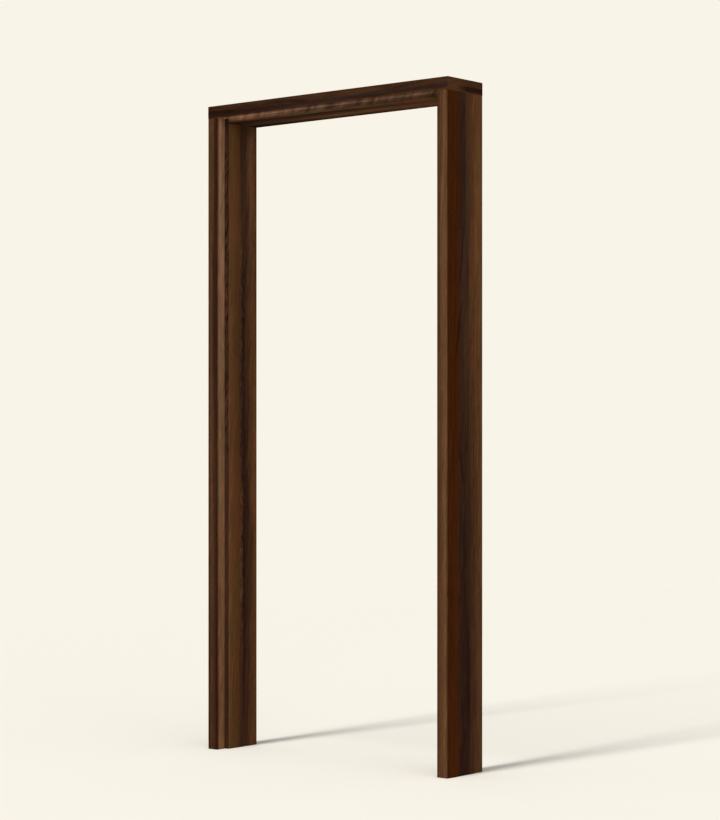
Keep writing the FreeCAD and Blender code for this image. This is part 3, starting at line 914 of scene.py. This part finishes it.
shader.inputs["Metallic"].default_value = 1.0

# Edges less sharp than this are shaded smooth, so that the shank and the thread look round
SMOOTH_ANGLE = math.radians(35)

screw.data.materials.clear()
screw.data.materials.append(zinc)
bpy.ops.object.select_all(action="DESELECT")
screw.select_set(True)
bpy.context.view_layer.objects.active = screw
bpy.ops.object.shade_smooth_by_angle(angle=SMOOTH_ANGLE)

# Six copies, each stopped with its cross at a turn of its own, in degrees
LEFT_TURNS = (12, 57, 33)
RIGHT_TURNS = (76, 5, 48)

for corner, low, high, turns in (
        ("left", left_low, left_high, LEFT_TURNS), ("right", right_low, right_high, RIGHT_TURNS)):
    rows = (low.y + HEAD_RADIUS, (low.y + high.y) / 2, high.y - HEAD_RADIUS)
    for row, y, turn in zip(("front", "middle", "back"), rows, turns):
        bpy.ops.object.select_all(action="DESELECT")
        screw.select_set(True)
        bpy.context.view_layer.objects.active = screw
        bpy.ops.object.duplicate()
        driven = bpy.context.object
        driven.name = f"screw_{corner}_{row}"
        driven.rotation_euler.z = math.radians(turn)
        driven.location = ((low.x + high.x) / 2, y, high.z)
        bpy.ops.object.transform_apply()
        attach(driven, "root")
        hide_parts(f"{corner}_corner_screws")
bpy.data.objects.remove(screw)

# Floor: a plain pale studio floor. It fades into the backdrop's colour well behind the
# frame, so that no line shows where it ends, and it keeps the frame's shadow.

PAPER = "#F9F4E8"
FLOOR_SIZE = 40
FADE_FROM = 5.0
FADE_TO = 9.0

bpy.ops.object.select_all(action="DESELECT")
bpy.ops.mesh.primitive_plane_add(size=FLOOR_SIZE, location=(0, 0, 0))
floor = bpy.context.object
floor.name = "studio_floor"

# Matt paper: it has no gloss, so it shows its colour, the light and the shadow only
paper = bpy.data.materials.new("matt_studio_paper")
paper.use_nodes = True
tree = paper.node_tree
tree.nodes.clear()
place = put(tree, "ShaderNodeTexCoord")
far = put(tree, "ShaderNodeVectorMath", {0: place.outputs["Object"]}, operation="LENGTH")
fade = put(tree, "ShaderNodeMapRange", {
    "Value": far.outputs["Value"], "From Min": FADE_FROM, "From Max": FADE_TO},
    interpolation_type="SMOOTHSTEP")
matt = put(tree, "ShaderNodeBsdfDiffuse", {"Color": linear(PAPER)})
clear = put(tree, "ShaderNodeBsdfTransparent")
surface = put(tree, "ShaderNodeMixShader", {
    0: fade.outputs[0], 1: matt.outputs[0], 2: clear.outputs[0]})
put(tree, "ShaderNodeOutputMaterial", {"Surface": surface.outputs[0]})
floor.data.materials.append(paper)

# Light: an even white surround, a key lamp in front and a little to the left, narrow and
# very tall, so that each foot throws one soft shadow straight back that fades before the
# head's, and a broad low fill to the right.

WHITE = "#FFFFFF"
SURROUND = 0.37
LAMP_AWAY = 400
KEY = {"share": 0.645, "height": 54, "side": -4, "width": 7, "tall": 52}
FILL = {"share": 0.105, "height": 15, "side": 68, "width": 70, "tall": 24}

world = bpy.data.worlds.new("studio")
bpy.context.scene.world = world
world.use_nodes = True
tree = world.node_tree
tree.nodes.clear()
ray = put(tree, "ShaderNodeLightPath")
seen = put(tree, "ShaderNodeMath", {
    0: ray.outputs["Is Camera Ray"], 1: ray.outputs["Is Glossy Ray"]}, operation="MAXIMUM")
seen = put(tree, "ShaderNodeMath", {
    0: seen.outputs[0], 1: ray.outputs["Is Transmission Ray"]}, operation="MAXIMUM")
surround = put(tree, "ShaderNodeBackground", {"Color": linear(WHITE), "Strength": SURROUND})
backdrop = put(tree, "ShaderNodeBackground", {"Color": linear(PAPER), "Strength": 1.0})
both = put(tree, "ShaderNodeMixShader", {
    0: seen.outputs[0], 1: surround.outputs[0], 2: backdrop.outputs[0]})
put(tree, "ShaderNodeOutputWorld", {"Surface": both.outputs[0]})


def soft_lamp(name, share, height, side, width, tall):
    """A large lamp far off, that gives the floor a share of white; angles are in degrees."""
    up, turn = math.radians(height), math.radians(side)
    bpy.ops.object.light_add(
        type="AREA",
        location=(LAMP_AWAY * math.sin(turn) * math.cos(up),
                  -LAMP_AWAY * math.cos(turn) * math.cos(up),
                  LAMP_AWAY * math.sin(up)),
        rotation=(math.pi / 2 - up, 0, turn))
    lamp = bpy.context.object
    lamp.name = name
    lamp.visible_camera = False
    lamp.data.shape = "RECTANGLE"
    lamp.data.size = 2 * LAMP_AWAY * math.tan(math.radians(width / 2))
    lamp.data.size_y = 2 * LAMP_AWAY * math.tan(math.radians(tall / 2))
    lamp.data.energy = share * (math.pi * LAMP_AWAY) ** 2 / math.sin(up)


soft_lamp("key_lamp", **KEY)
soft_lamp("fill_lamp", **FILL)

# Camera: to the right of the frame and a metre up, with a long lens. It is held level, which
# keeps the uprights parallel, and a small shift puts the frame in the middle of the picture.

CAMERA_PLACE = (4.5025, -5.3329, 1.0353)
CAMERA_TURN = math.radians(39.668)
LENS = 96.954
SENSOR_WIDTH = 36
HORIZON_SHIFT = 0.02712

bpy.ops.object.camera_add(location=CAMERA_PLACE, rotation=(math.radians(90), 0, CAMERA_TURN))
camera = bpy.context.object
camera.name = "studio_camera"
camera.data.lens = LENS
camera.data.sensor_width = SENSOR_WIDTH
camera.data.shift_y = HORIZON_SHIFT
bpy.context.scene.camera = camera
bpy.context.scene.view_settings.view_transform = "Standard"
